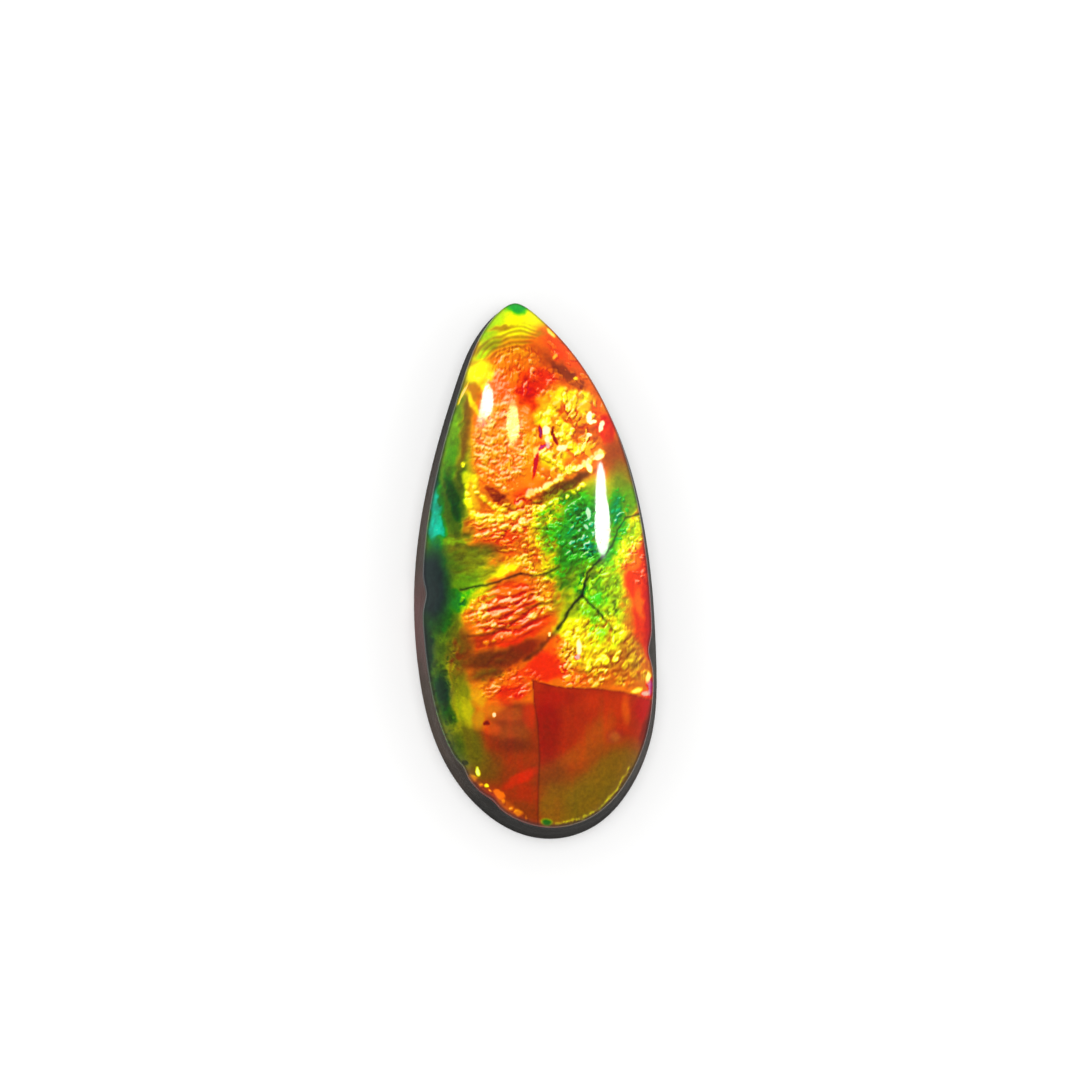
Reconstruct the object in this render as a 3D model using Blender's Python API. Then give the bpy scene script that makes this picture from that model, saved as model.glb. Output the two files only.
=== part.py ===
"""A polished ammolite: a thin domed sheet of iridescent fossil shell, still bedded on its dark shale.

The stone is a long freeform teardrop that lies on its flat ground back. X runs across it, Y runs
towards its pointed end, and Z points up from the back to the crown. Everything is in metres.
"""

import bmesh
import bpy
import numpy as np

MM = 0.001

# Heights, from the flat back to the crown.
WALL_HEIGHT = 2.30 * MM  # the shale that shows round the side
PARTING = 0.05 * MM  # keeps the two solids apart along the bedding plane
SHELL_EDGE = 0.20 * MM  # the shell's own edge, standing on the wall
RIM_BEVEL_HEIGHT = 0.12 * MM
CROWN_RISE = 1.53 * MM  # the polished dome above its rim
BED_RISE = 1.15 * MM  # the shale's own dome, under the shell

# Widths, measured inwards from the outline.
BACK_BEVEL = 0.16 * MM
WALL_LEAN = 0.46 * MM  # how far the wall leans in between the back and the shell's edge
RIM_BEVEL_WIDTH = 0.15 * MM

# The dome is (1 - s^DOME_POWER)^DOME_SHOULDER, where s is 0 at the crown and 1 at the rim.
DOME_POWER = 2.0
DOME_SHOULDER = 0.80
CROWN = (0.10 * MM, -1.50 * MM)

# The outline of the back, counter-clockwise from the pointed end.
OUTLINE = (
    (-1.38, 15.87), (-3.14, 14.56), (-4.71, 11.12), (-5.82, 7.22), (-6.78, 2.40),
    (-7.08, -1.80), (-6.75, -6.30), (-5.75, -10.30), (-3.52, -13.76), (-1.00, -15.46),
    (1.05, -15.79), (3.52, -14.98), (5.62, -12.65), (6.84, -9.40), (7.06, -5.20),
    (6.85, -0.90), (6.12, 4.10), (4.76, 8.60), (2.67, 12.36), (0.42, 14.86),
)
OUTLINE_POINTS = 144
SPAN_STEPS = 48  # steps in which each span of the outline is measured

# Flakes lost from the rim: where, how wide and how deep, in millimetres.
CHIPS = (
    ((-6.55, -2.10), 0.75, 0.22),
    ((6.55, -5.25), 0.80, 0.24),
    ((-4.35, -12.10), 0.50, 0.14),
    ((-2.50, -13.80), 0.60, 0.18),
)
CHIP_LEVEL = 2.45 * MM

WALL_LEVELS = (0.35, 0.60, 0.80, 0.92)  # rings on the wall, as shares of its height
SHELL_RINGS = (0.985, 0.96, 0.92, 0.86, 0.78, 0.68, 0.56, 0.43, 0.29, 0.14)
BED_RINGS = (0.97, 0.92, 0.84, 0.72, 0.56, 0.38, 0.19)


def closed_spline(knots):
    """Points on the smooth closed curve that passes through the knots."""
    following = np.roll(knots, -1, axis=0)
    chord = np.linalg.norm(following - knots, axis=1)
    before = np.roll(chord, 1)
    count = len(knots)
    rows = np.arange(count)
    bend = np.zeros((count, count))
    bend[rows, rows - 1] = 1 / before
    bend[rows, rows] = 2 / before + 2 / chord
    bend[rows, (rows + 1) % count] = 1 / chord
    rise = (following - knots) / chord[:, None] ** 2
    tangents = np.linalg.solve(bend, 3 * (rise + np.roll(rise, 1, axis=0)))

    t = np.linspace(0, 1, SPAN_STEPS, endpoint=False)[None, :, None]
    start, end = knots[:, None], following[:, None]
    leave = (chord[:, None] * tangents)[:, None]
    arrive = (chord[:, None] * np.roll(tangents, -1, axis=0))[:, None]
    curve = (
        (1 + 2 * t) * (1 - t) ** 2 * start
        + t * (1 - t) ** 2 * leave
        + t * t * (3 - 2 * t) * end
        + t * t * (t - 1) * arrive
    )
    return curve.reshape(-1, 2)


def evenly_spaced(curve, count):
    """The closed curve again, with its points an equal distance apart."""
    ring = np.vstack([curve, curve[:1]])
    travelled = np.concatenate([[0], np.cumsum(np.linalg.norm(np.diff(ring, axis=0), axis=1))])
    stops = np.linspace(0, travelled[-1], count, endpoint=False)
    return np.column_stack([np.interp(stops, travelled, ring[:, axis]) for axis in (0, 1)])


def back_outline():
    """The outline with its box centred on the origin, and the inward direction at each point."""
    outline = evenly_spaced(closed_spline(np.array(OUTLINE) * MM), OUTLINE_POINTS)
    outline -= (outline.max(axis=0) + outline.min(axis=0)) / 2
    along = np.roll(outline, -1, axis=0) - np.roll(outline, 1, axis=0)
    along /= np.linalg.norm(along, axis=1)[:, None]
    return outline, np.column_stack([-along[:, 1], along[:, 0]])


OUTLINE_XY, INWARD = back_outline()


def ring(inset, height):
    """One loop of points round the stone, set in from the outline."""
    flat = OUTLINE_XY + INWARD * inset
    return np.column_stack([flat, np.full(len(flat), height)])


def wall_inset(height):
    """How far in the leaning wall stands at this height, above the bevel of the back."""
    top = WALL_HEIGHT + PARTING + SHELL_EDGE
    return WALL_LEAN * (height - BACK_BEVEL) / (top - BACK_BEVEL)


def dome_ring(rim, share, rise):
    """The rim drawn in towards the crown and lifted onto a dome."""
    loop = rim.copy()
    loop[:, :2] = np.array(CROWN) + share * (rim[:, :2] - np.array(CROWN))
    loop[:, 2] += rise * (1 - share**DOME_POWER) ** DOME_SHOULDER
    return loop


def crown_point(rim, rise):
    return (*CROWN, rim[0, 2] + rise)


def chipped(loop):
    """The loop with every chip pulling the points near it inwards."""
    bite = np.zeros(len(loop))
    for (x, y), width, depth in CHIPS:
        away = np.linalg.norm(loop - np.array([x * MM, y * MM, CHIP_LEVEL]), axis=1)
        bite += depth * MM * np.exp(-((away / (width * MM)) ** 2))
    return loop + np.column_stack([INWARD * bite[:, None], np.zeros(len(loop))])


def lofted_solid(name, loops, first_apex, last_apex, material):
    """A closed solid through the loops. Each end closes on its apex, or flat where it has none."""
    mesh = bmesh.new()
    rows = [[mesh.verts.new(point) for point in chipped(loop)] for loop in loops]
    for lower, upper in zip(rows, rows[1:]):
        for i in range(OUTLINE_POINTS):
            j = (i + 1) % OUTLINE_POINTS
            mesh.faces.new((lower[i], lower[j], upper[j], upper[i]))
    for row, apex in ((rows[0], first_apex), (rows[-1], last_apex)):
        if apex is None:
            mesh.faces.new(row)
            continue
        tip = mesh.verts.new(apex)
        for i in range(OUTLINE_POINTS):
            mesh.faces.new((row[i], row[(i + 1) % OUTLINE_POINTS], tip))
    bmesh.ops.recalc_face_normals(mesh, faces=mesh.faces)
    data = bpy.data.meshes.new(name)
    mesh.to_mesh(data)
    mesh.free()
    data.materials.append(material)
    data.shade_smooth()
    data.set_sharp_from_angle(angle=np.radians(28))
    solid = bpy.data.objects.new(name, data)
    bpy.context.scene.collection.objects.link(solid)
    return solid


def stone_material(name, colour, roughness, metallic):
    material = bpy.data.materials.new(name)
    material.use_nodes = True
    shader = material.node_tree.nodes["Principled BSDF"]
    shader.inputs["Base Color"].default_value = (*colour, 1)
    shader.inputs["Roughness"].default_value = roughness
    shader.inputs["Metallic"].default_value = metallic
    return material


def shale_backing():
    """The dark shale: a flat back, a small bevel, a leaning ground wall and a domed bedding plane."""
    rim = ring(wall_inset(WALL_HEIGHT), WALL_HEIGHT)
    heights = [BACK_BEVEL + share * (WALL_HEIGHT - BACK_BEVEL) for share in WALL_LEVELS]
    loops = [ring(BACK_BEVEL, 0), ring(0, BACK_BEVEL)]
    loops += [ring(wall_inset(height), height) for height in heights]
    loops += [rim]
    loops += [dome_ring(rim, share, BED_RISE) for share in BED_RINGS]
    shale = stone_material("shale", (0.040, 0.037, 0.036), 0.55, 0.0)
    return lofted_solid("shale_backing", loops, None, crown_point(rim, BED_RISE), shale)


def ammolite_layer():
    """The fossil shell: bedded on the shale below, bevelled at the rim and polished to a dome above."""
    foot = WALL_HEIGHT + PARTING
    edge = foot + SHELL_EDGE
    under = ring(wall_inset(foot), foot)
    shoulder = ring(wall_inset(edge) + RIM_BEVEL_WIDTH, edge + RIM_BEVEL_HEIGHT)
    loops = [dome_ring(under, share, BED_RISE) for share in reversed(BED_RINGS)]
    loops += [under, ring(wall_inset(edge), edge), shoulder]
    loops += [dome_ring(shoulder, share, CROWN_RISE) for share in SHELL_RINGS]
    shell = stone_material("ammolite", (0.62, 0.24, 0.02), 0.16, 0.35)
    below, above = crown_point(under, BED_RISE), crown_point(shoulder, CROWN_RISE)
    return lofted_solid("ammolite_layer", loops, below, above, shell)


for thing in list(bpy.data.objects):
    bpy.data.objects.remove(thing, do_unlink=True)
shale_backing()
ammolite_layer()
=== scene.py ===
"""Looks for a polished ammolite: an iridescent fossil shell, domed and polished, on its dark shale.

The stone lies on its flat back at z = 0. X runs across it, Y towards its pointed end and Z up to its
crown. Sizes are in metres, and MM turns millimetres into metres.
"""

import bmesh
import bpy
import numpy as np
from mathutils import Matrix, Vector


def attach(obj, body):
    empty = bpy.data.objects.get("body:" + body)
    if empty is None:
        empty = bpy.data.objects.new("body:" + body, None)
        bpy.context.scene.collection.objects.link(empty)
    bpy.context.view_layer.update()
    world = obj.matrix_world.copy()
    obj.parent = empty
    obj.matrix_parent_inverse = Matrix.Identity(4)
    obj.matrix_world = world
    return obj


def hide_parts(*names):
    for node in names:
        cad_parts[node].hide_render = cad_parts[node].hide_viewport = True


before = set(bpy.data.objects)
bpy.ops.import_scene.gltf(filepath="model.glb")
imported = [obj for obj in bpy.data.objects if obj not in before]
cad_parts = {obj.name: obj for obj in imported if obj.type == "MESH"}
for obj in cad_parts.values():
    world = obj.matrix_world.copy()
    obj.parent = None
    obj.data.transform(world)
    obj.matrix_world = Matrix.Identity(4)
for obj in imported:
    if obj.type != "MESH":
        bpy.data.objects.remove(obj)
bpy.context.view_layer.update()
MM = 0.001


# The shale backing
# The dark shale that the fossil shell is still bedded on. It is sawn flat at the back, and its wall
# is ground by hand, so it leans in towards the shell and has lost small flakes at the rim.
WALL_TOP = 2.30 * MM
BACK_BEVEL = 0.16 * MM
WALL_LEAN = 0.46 * MM  # how far the wall leans in, from the bevel to the top of the shell's edge
LEAN_TOP = 2.55 * MM
BED_RISE = 1.15 * MM  # the bedding plane under the shell is domed too
CROWN = (0.10 * MM, -1.50 * MM, 0.0)
DOME_SHOULDER = 0.80
ROUND_OUT = (7, 16)  # shares that even out the turn round the long stone
OUTLINE_POINTS = 720
SPAN_STEPS = 12
WALL_RINGS = 9
SAME_PLACE = 1e-8  # points closer than this are one
SHALE_CLOSING = (0.97, 0.90, 0.70, 0.45, 0.20, 0.0)  # rings across the flat back
# Flakes lost from the rim: where, how wide and how deep, in millimetres.
CHIPS = (
    ((-6.55, -2.10), 0.75, 0.22),
    ((6.55, -5.25), 0.80, 0.24),
    ((-4.35, -12.10), 0.50, 0.14),
    ((-2.50, -13.80), 0.60, 0.18),
)
CHIP_HEIGHT = 2.45


class Socket:
    """One output of a node. Arithmetic on it adds Math nodes, or Vector Math nodes for a vector."""

    def __init__(self, graph, socket):
        self.graph = graph
        self.socket = socket

    def other(self, name):
        """Another output of the same node."""
        return Socket(self.graph, self.socket.node.outputs[name])

    def math(self, operation, *others):
        """One step of arithmetic, with this socket first."""
        kind = "ShaderNodeVectorMath" if self.socket.type == "VECTOR" else "ShaderNodeMath"
        return self.graph.add(kind, {"operation": operation}, (self, *others))

    def scaled(self, amount):
        """A vector made this many times as long."""
        sizes = {"Vector": self, "Scale": amount}
        return self.graph.add("ShaderNodeVectorMath", {"operation": "SCALE"}, sizes)

    def within(self, low=0.0, high=1.0):
        """The value, held between these two."""
        return self.math("MAXIMUM", low).math("MINIMUM", high)

    def __add__(self, other):
        return self.math("ADD", other)

    def __sub__(self, other):
        return self.math("SUBTRACT", other)

    def __rsub__(self, other):
        return self.graph.add("ShaderNodeMath", {"operation": "SUBTRACT"}, (other, self))

    def __mul__(self, other):
        return self.math("MULTIPLY", other)

    def __truediv__(self, other):
        return self.math("DIVIDE", other)

    def __pow__(self, other):
        return self.math("POWER", other)

    def __rpow__(self, other):
        return self.graph.add("ShaderNodeMath", {"operation": "POWER"}, (other, self))

    __radd__ = __add__
    __rmul__ = __mul__


class Graph:
    """A node tree, built one call for each node."""

    def __init__(self, tree):
        self.tree = tree
        tree.nodes.clear()

    def add(self, kind, settings=None, inputs=(), output=None):
        """A node of this kind. Its settings come first, then its inputs, by name or in their order."""
        node = self.tree.nodes.new(kind)
        for name, value in (settings or {}).items():
            if name == "stops":
                for _ in range(len(value) - 2):
                    node.color_ramp.elements.new(0.5)
                for element, (place, colour) in zip(node.color_ramp.elements, value):
                    element.position = place
                    element.color = (*colour, 1)
            else:
                setattr(node, name, value)
        sockets = [socket for socket in node.inputs if socket.enabled]
        if isinstance(inputs, dict):
            named = {socket.name: socket for socket in reversed(sockets)}
            pairs = [(named[name], value) for name, value in inputs.items()]
        else:
            pairs = list(zip(sockets, inputs))
        for socket, value in pairs:
            if isinstance(value, Socket):
                self.tree.links.new(value.socket, socket)
            else:
                socket.default_value = value
        shown = [socket for socket in node.outputs if socket.enabled]
        if not shown:
            return None
        return Socket(self, next(socket for socket in shown if output in (None, socket.name)))

    def mix(self, kind, share, first, second):
        """One colour or vector turning into another."""
        inputs = {"Factor": share, "A": first, "B": second}
        return self.add("ShaderNodeMix", {"data_type": kind}, inputs)


def vectors_of(mesh, name):
    """One vector for each point of the mesh."""
    values = np.empty(len(mesh.vertices) * 3)
    mesh.attributes[name].data.foreach_get("vector", values)
    return values.reshape(-1, 3)


def turn_of(points):
    """The angle of each point round the stone."""
    return np.arctan2(points[:, 1] / ROUND_OUT[1], points[:, 0] / ROUND_OUT[0])


def stone_outline():
    """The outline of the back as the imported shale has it, and the inward direction at each point."""
    places = vectors_of(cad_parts["shale_backing"].data, "position")
    edge = np.unique(np.round(places[np.abs(places[:, 2] - BACK_BEVEL) < 1e-6, :2], 8), axis=0)
    edge = edge[np.argsort(turn_of(edge))]
    # points closer together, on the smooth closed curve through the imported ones
    following = np.roll(edge, -1, axis=0)
    chord = np.linalg.norm(following - edge, axis=1)[:, None]
    before = np.roll(chord, 1, axis=0)
    unit = np.eye(len(edge))
    bend = 2 * (1 / before + 1 / chord) * unit
    bend += np.roll(unit, -1, axis=1) / before + np.roll(unit, 1, axis=1) / chord
    rise = (following - edge) / chord**2
    tangents = np.linalg.solve(bend, 3 * (rise + np.roll(rise, 1, axis=0)))
    leave, arrive = (chord * ends for ends in (tangents, np.roll(tangents, -1, axis=0)))
    t = np.linspace(0, 1, SPAN_STEPS, endpoint=False)[:, None]
    smooth = (
        (1 + 2 * t) * (1 - t) ** 2 * edge[:, None]
        + t * (1 - t) ** 2 * leave[:, None]
        + t * t * (3 - 2 * t) * following[:, None]
        + t * t * (t - 1) * arrive[:, None]
    ).reshape(-1, 2)
    turn = np.unwrap(turn_of(smooth))
    wanted = np.linspace(0, 2 * np.pi, OUTLINE_POINTS, endpoint=False)
    outline = np.column_stack([np.interp(wanted, turn, part, period=2 * np.pi) for part in smooth.T])
    run = np.roll(outline, -1, axis=0) - np.roll(outline, 1, axis=0)
    run /= np.linalg.norm(run, axis=1)[:, None]
    flat = np.zeros((OUTLINE_POINTS, 1))
    return np.hstack([outline, flat]), np.hstack([-run[:, 1:], run[:, :1], flat])


def domed_stone_tree(loops, closing):
    """Geometry nodes for a stone: a dome from its rim to its crown, loops of wall under the rim, and
    an underside that closes at the crown's place. The modifier's own mesh is the outline."""
    tree = bpy.data.node_groups.new("domed stone", "GeometryNodeTree")
    graph = Graph(tree)
    lengths = ["Rim Inset", "Rim Height", "Dome Rise", "Shoulder", "Hollow Rise"]
    lengths += [f"Loop {k} {what}" for k in range(loops) for what in ("Inset", "Height")]
    counts = ("Columns", "Rows", "Outline Points")
    inputs = {"Geometry": "Geometry", **dict.fromkeys(counts, "Int"), **dict.fromkeys(lengths, "Float")}
    for name, kind in {**inputs, "Crown": "Vector", "Material": "Material"}.items():
        tree.interface.new_socket(name, in_out="INPUT", socket_type=f"NodeSocket{kind}")
    tree.interface.new_socket("Geometry", in_out="OUTPUT", socket_type="NodeSocketGeometry")
    given = graph.add("NodeGroupInput").other

    # a square grid, drawn out to a disc
    sizes = {"Size X": 2.0, "Size Y": 2.0, "Vertices X": given("Columns"), "Vertices Y": given("Rows")}
    mesh = graph.add("GeometryNodeMeshGrid", {}, sizes)
    corner = graph.add("ShaderNodeSeparateXYZ", {}, (graph.add("GeometryNodeInputPosition"),))
    x, y = corner.other("X"), corner.other("Y")
    across = x * (1 - y * y * 0.5).math("SQRT")
    along = y * (1 - x * x * 0.5).math("SQRT")
    share = (across * across + along * along).math("SQRT").math("MINIMUM", 1.0)
    turn = (along.math("ARCTAN2", across) / (2 * np.pi)).math("FRACT")

    # the outline and its inward direction at that turn, between the two nearest points
    place = turn * given("Outline Points")
    before = place.math("FLOOR")
    after = (before + 1).math("MODULO", given("Outline Points"))

    def kept(name, kind="FLOAT_VECTOR"):
        """What was stored under this name."""
        return graph.add("GeometryNodeInputNamedAttribute", {"data_type": kind}, (name,))

    def at_turn(field):
        """A field of the outline, read at this turn."""
        ends = [
            graph.add(
                "GeometryNodeSampleIndex",
                {"data_type": "FLOAT_VECTOR", "domain": "POINT"},
                {"Geometry": given("Geometry"), "Value": field, "Index": index},
            )
            for index in (before, after)
        ]
        return graph.mix("VECTOR", place - before, *ends)

    for name, kind, value in (
        ("outline", "FLOAT_VECTOR", at_turn(graph.add("GeometryNodeInputPosition"))),
        ("inward", "FLOAT_VECTOR", at_turn(kept("inward"))),
        ("share", "FLOAT", share),
    ):
        mesh = graph.add(
            "GeometryNodeStoreNamedAttribute",
            {"data_type": kind, "domain": "POINT"},
            {"Geometry": mesh, "Name": name, "Value": value},
        )
    outline, inward, share = kept("outline"), kept("inward"), kept("share", "FLOAT")

    def placed(mesh, selection, share, inset, height, rise):
        """The points moved to this share of the way from the crown out to a loop of the wall."""
        flat = graph.mix("VECTOR", share, given("Crown"), outline + inward.scaled(inset))
        lift = graph.add(
            "ShaderNodeCombineXYZ", {}, {"Z": height + (1 - share * share) ** given("Shoulder") * rise}
        )
        moved = {"Geometry": mesh, "Selection": selection, "Position": flat + lift}
        return graph.add("GeometryNodeSetPosition", {}, moved)

    mesh = placed(mesh, True, share, given("Rim Inset"), given("Rim Height"), given("Dome Rise"))

    # the wall hangs from the open edge of the grid, and the underside closes it
    open_edge = graph.add("GeometryNodeInputMeshEdgeNeighbors").math("LESS_THAN", 2)
    steps = [(1.0, given(f"Loop {k} Inset"), given(f"Loop {k} Height")) for k in range(loops)]
    steps += [(part, *steps[-1][1:]) for part in closing]
    for part, inset, height in steps:
        sizes = {"Mesh": mesh, "Selection": open_edge, "Offset Scale": 0.0}
        mesh = graph.add("GeometryNodeExtrudeMesh", {"mode": "EDGES"}, sizes)
        open_edge = mesh.other("Top")
        mesh = placed(mesh, open_edge, part, inset, height, given("Hollow Rise"))

    mesh = graph.add("GeometryNodeMergeByDistance", {}, {"Geometry": mesh, "Distance": 1e-7})
    mesh = graph.add("GeometryNodeRealizeInstances", {}, {"Geometry": mesh})
    mesh = graph.add("GeometryNodeSetMaterial", {}, {"Geometry": mesh, "Material": given("Material")})
    graph.add("NodeGroupOutput", {}, (mesh,))
    return tree


def in_scene(name, data):
    """A new object in the scene."""
    thing = bpy.data.objects.new(name, data)
    bpy.context.scene.collection.objects.link(thing)
    return thing


def domed_stone(name, sizes, loops, closing, material):
    """A closed plain mesh from the tree. Its sizes come by name, and its loops as inset and height."""
    outline, inward = stone_outline()
    data = bpy.data.meshes.new(name)
    data.from_pydata(outline.tolist(), [], [])
    data.attributes.new("inward", "FLOAT_VECTOR", "POINT").data.foreach_set("vector", inward.ravel())
    stone = in_scene(name, data)
    modifier = stone.modifiers.new("domed stone", "NODES")
    modifier.node_group = domed_stone_tree(len(loops), closing)
    given = {"Outline Points": OUTLINE_POINTS, "Crown": CROWN, "Shoulder": DOME_SHOULDER}
    given.update(sizes, Material=material)
    for k, (inset, height) in enumerate(loops):
        given.update({f"Loop {k} Inset": inset, f"Loop {k} Height": height})
    for item in modifier.node_group.interface.items_tree:
        if item.in_out == "INPUT" and item.name in given:
            modifier[item.identifier] = given[item.name]
    evaluated = stone.evaluated_get(bpy.context.evaluated_depsgraph_get())
    plain = bpy.data.meshes.new_from_object(evaluated)
    stone.modifiers.clear()
    stone.data = plain
    return stone


def tidied(stone, sharp):
    """Doubles merged, faces outward, and edges that are sharper than this many degrees kept crisp."""
    mesh = bmesh.new()
    mesh.from_mesh(stone.data)
    bmesh.ops.remove_doubles(mesh, verts=mesh.verts, dist=SAME_PLACE)
    bmesh.ops.dissolve_degenerate(mesh, edges=mesh.edges, dist=SAME_PLACE)
    bmesh.ops.recalc_face_normals(mesh, faces=mesh.faces)
    mesh.to_mesh(stone.data)
    mesh.free()
    stone.data.shade_smooth()
    stone.data.set_sharp_from_angle(angle=np.radians(sharp))
    for name in ("outline", "share"):
        stone.data.attributes.remove(stone.data.attributes[name])


def drawn_in(stone, inset):
    """The stone's points moved inwards by these millimetres."""
    places = vectors_of(stone.data, "position") + vectors_of(stone.data, "inward") * inset[:, None] * MM
    stone.data.vertices.foreach_set("co", places.ravel())
    stone.data.update()


def lean(height):
    """How far in the ground wall stands at this height."""
    return WALL_LEAN * (height - BACK_BEVEL) / (LEAN_TOP - BACK_BEVEL)


def chip_depth(places):
    """How deep the lost flakes bite in at each point, in millimetres."""
    bite = np.zeros(len(places))
    for (x, y), width, depth in CHIPS:
        away = np.linalg.norm(places - np.array([x, y, CHIP_HEIGHT]), axis=1)
        bite += depth * np.exp(-((away / width) ** 2))
    return bite


def hashed(column, row, seed):
    """A fixed random share from 0 to 1 for each cell of a grid."""
    bits = (column * 374761393 + row * 668265263 + seed * 1442695041) & 0xFFFFFFFF
    bits = ((bits ^ (bits >> 13)) * 1274126177) & 0xFFFFFFFF
    return ((bits ^ (bits >> 16)) & 0xFFFFFF) / 0x1000000


def eased(share):
    """A share held from 0 to 1, with soft ends."""
    share = np.clip(share, 0, 1)
    return share * share * (3 - 2 * share)


def cloud(points, size, seed, octaves=2):
    """Soft random patches from -1 to 1, about one size across."""
    total, weight = np.zeros(len(points)), 0.0
    for octave in range(octaves):
        scaled = points / size * 2**octave + 17.3 * octave
        cell = np.floor(scaled).astype(np.int64)
        across, up = eased(scaled - cell).T
        corner = [hashed(cell[:, 0] + i, cell[:, 1] + j, seed + octave) for j in (0, 1) for i in (0, 1)]
        low = corner[0] + (corner[1] - corner[0]) * across
        high = corner[2] + (corner[3] - corner[2]) * across
        total += 0.5**octave * (low + (high - low) * up)
        weight += 0.5**octave
    return total / weight * 2 - 1


def new_material(name):
    """A material and its empty graph."""
    material = bpy.data.materials.new(name)
    material.use_nodes = True
    return material, Graph(material.node_tree)


def in_millimetres(graph):
    """Places on the piece, in millimetres."""
    return graph.add("ShaderNodeTexCoord", output="Object").scaled(1 / MM)


def surfaced(graph, inputs):
    """The graph's shader, joined to the material."""
    shader = graph.add("ShaderNodeBsdfPrincipled", {}, inputs)
    graph.add("ShaderNodeOutputMaterial", {}, {"Surface": shader})


def shale_finish():
    """Charcoal shale, browner on one flank and reddish low on it, with faint bedding and a ground surface.
    """
    material, graph = new_material("shale")
    place = in_millimetres(graph)
    axes = graph.add("ShaderNodeSeparateXYZ", {}, (place,))
    x, y = axes.other("X"), axes.other("Y")

    def noise(scale, detail, stretch=(1, 1, 1)):
        stretched = graph.add("ShaderNodeVectorMath", {"operation": "MULTIPLY"}, (place, stretch))
        inputs = {"Vector": stretched, "Scale": scale, "Detail": detail}
        return graph.add("ShaderNodeTexNoise", {}, inputs)

    blotch = noise(0.55, 3.0)
    bedding = noise(1.0, 5.0, (0.5, 0.5, 6.0))
    grain = noise(14.0, 2.0)
    scratches = noise(5.0, 2.0, (0.35, 5.0, 0.35))

    # brown on the left flank and not at the pointed end, reddish low on it, tan on the right
    flank = x * -0.32 - 0.9 + (blotch - 0.5) * 1.6
    brown = flank.within() * ((9.0 - y) * 0.16).within()
    low = (1.0 - ((y + 3.6) / 3.4) ** 2.0).math("MAXIMUM", 0.0)
    reddish = ((x + 5.6) * -1.2).within() * low * (blotch * 1.5)
    tan = ((x - 4.2) * 0.5).within(high=0.8) * blotch * 1.5
    colour = graph.mix("RGBA", bedding, (0.003, 0.0027, 0.002, 1), (0.012, 0.0105, 0.008, 1))
    for share, zone_colour in (
        (brown * (0.45 + bedding * 0.8), (0.060, 0.041, 0.030, 1)),
        (reddish * (0.5 + bedding * 0.7), (0.135, 0.058, 0.058, 1)),
        (tan * 0.6, (0.075, 0.060, 0.049, 1)),
        ((grain - 0.45) * 0.35, (0.070, 0.064, 0.056, 1)),
    ):
        colour = graph.mix("RGBA", share, colour, zone_colour)
    height = bedding * 0.7 + grain * 0.5 + scratches * 0.4
    bump = graph.add("ShaderNodeBump", {}, {"Strength": 0.5, "Distance": 0.06 * MM, "Height": height})
    rough = 0.50 + grain * 0.3
    surfaced(graph, {"Base Color": colour, "Roughness": rough, "Normal": bump, "Specular IOR Level": 0.12})
    return material


wall_heights = [WALL_TOP - (WALL_TOP - BACK_BEVEL) * (k + 1) / WALL_RINGS for k in range(WALL_RINGS)]
shale = domed_stone(
    "shale_backing_ground",
    {
        "Columns": 110,
        "Rows": 220,
        "Rim Inset": lean(WALL_TOP),
        "Rim Height": WALL_TOP,
        "Dome Rise": BED_RISE,
        "Hollow Rise": 0.0,
    },
    [(lean(height), height) for height in wall_heights] + [(0.05 * MM, 0.04 * MM), (BACK_BEVEL, 0.0)],
    SHALE_CLOSING,
    shale_finish(),
)
# the wall is worn a little unevenly, by how far round it a place is and how high
places = vectors_of(shale.data, "position") / MM
round_it = np.arctan2(places[:, 1] / 2.2, places[:, 0]) * 7
level = np.column_stack([round_it, places[:, 2] * 4])
on_wall = eased((places[:, 2] - 0.2) / 0.5) * eased((2.28 - places[:, 2]) / 0.25)
worn = 0.030 * (1 + cloud(level, 2.2, 101, 3)) + 0.012 * (1 + cloud(level, 0.45, 102))
drawn_in(shale, chip_depth(places) + on_wall * worn)
tidied(shale, 26)
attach(shale, "root")
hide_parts("shale_backing")


# The ammolite layer
# The fossil shell of an ammonite: thin aragonite plates that break light into pure colours. The
# plates lie crinkled and beaded inside the stone, and the face over them is cut to a dome and polished.
EDGE_HEIGHT = 2.55 * MM
FOOT_HEIGHT = 2.35 * MM
RIM_BEVEL_WIDTH = 0.15 * MM
RIM_BEVEL_HEIGHT = 0.12 * MM
DOME_RISE = 1.53 * MM
SHELL_CLOSING = (0.985, 0.95, 0.88, 0.76, 0.58, 0.36, 0.16, 0.0)  # rings across its hollow underside
# How the photograph sees the stone: almost straight down, from a little below and left of it.
LENS = 85.0
SENSOR = 36.0
SEEN_WIDTH = 63.46 * MM
AIM = Vector((0.283 * MM, 1.684 * MM, 0.0))
TOWARDS_CAMERA = Vector((-0.065, -0.209, 1.0)).normalized()
RIGHT = Vector((0, 1, 0)).cross(TOWARDS_CAMERA).normalized()
UP = TOWARDS_CAMERA.cross(RIGHT)
EYE = AIM + TOWARDS_CAMERA * SEEN_WIDTH * LENS / SENSOR
# The ruler laid on a print this wide: where its zero stands, and millimetres to a pixel.
PRINT = 1080
RULER_ZERO = (534.5, 570.5)
RULER_STEP = (0.05828, 0.0596)
LIGHT_FROM = np.array([-0.45, 0.89])  # painted light and shade: the crinkles are painted brighter on the side that faces this way and darker on the other
# The colour of each order of interference, from the thinnest plates to the thickest, as sRGB.
ORDER_COLOURS = (
    (0.00, (40, 50, 78)), (0.10, (0, 105, 125)), (0.18, (5, 205, 165)), (0.27, (0, 170, 60)),
    (0.37, (75, 215, 8)), (0.46, (185, 242, 5)), (0.55, (255, 250, 3)), (0.63, (255, 195, 12)),
    (0.72, (252, 128, 8)), (0.82, (250, 66, 4)), (0.90, (228, 20, 10)), (0.96, (205, 18, 40)),
    (1.00, (190, 40, 120)),
)


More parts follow.
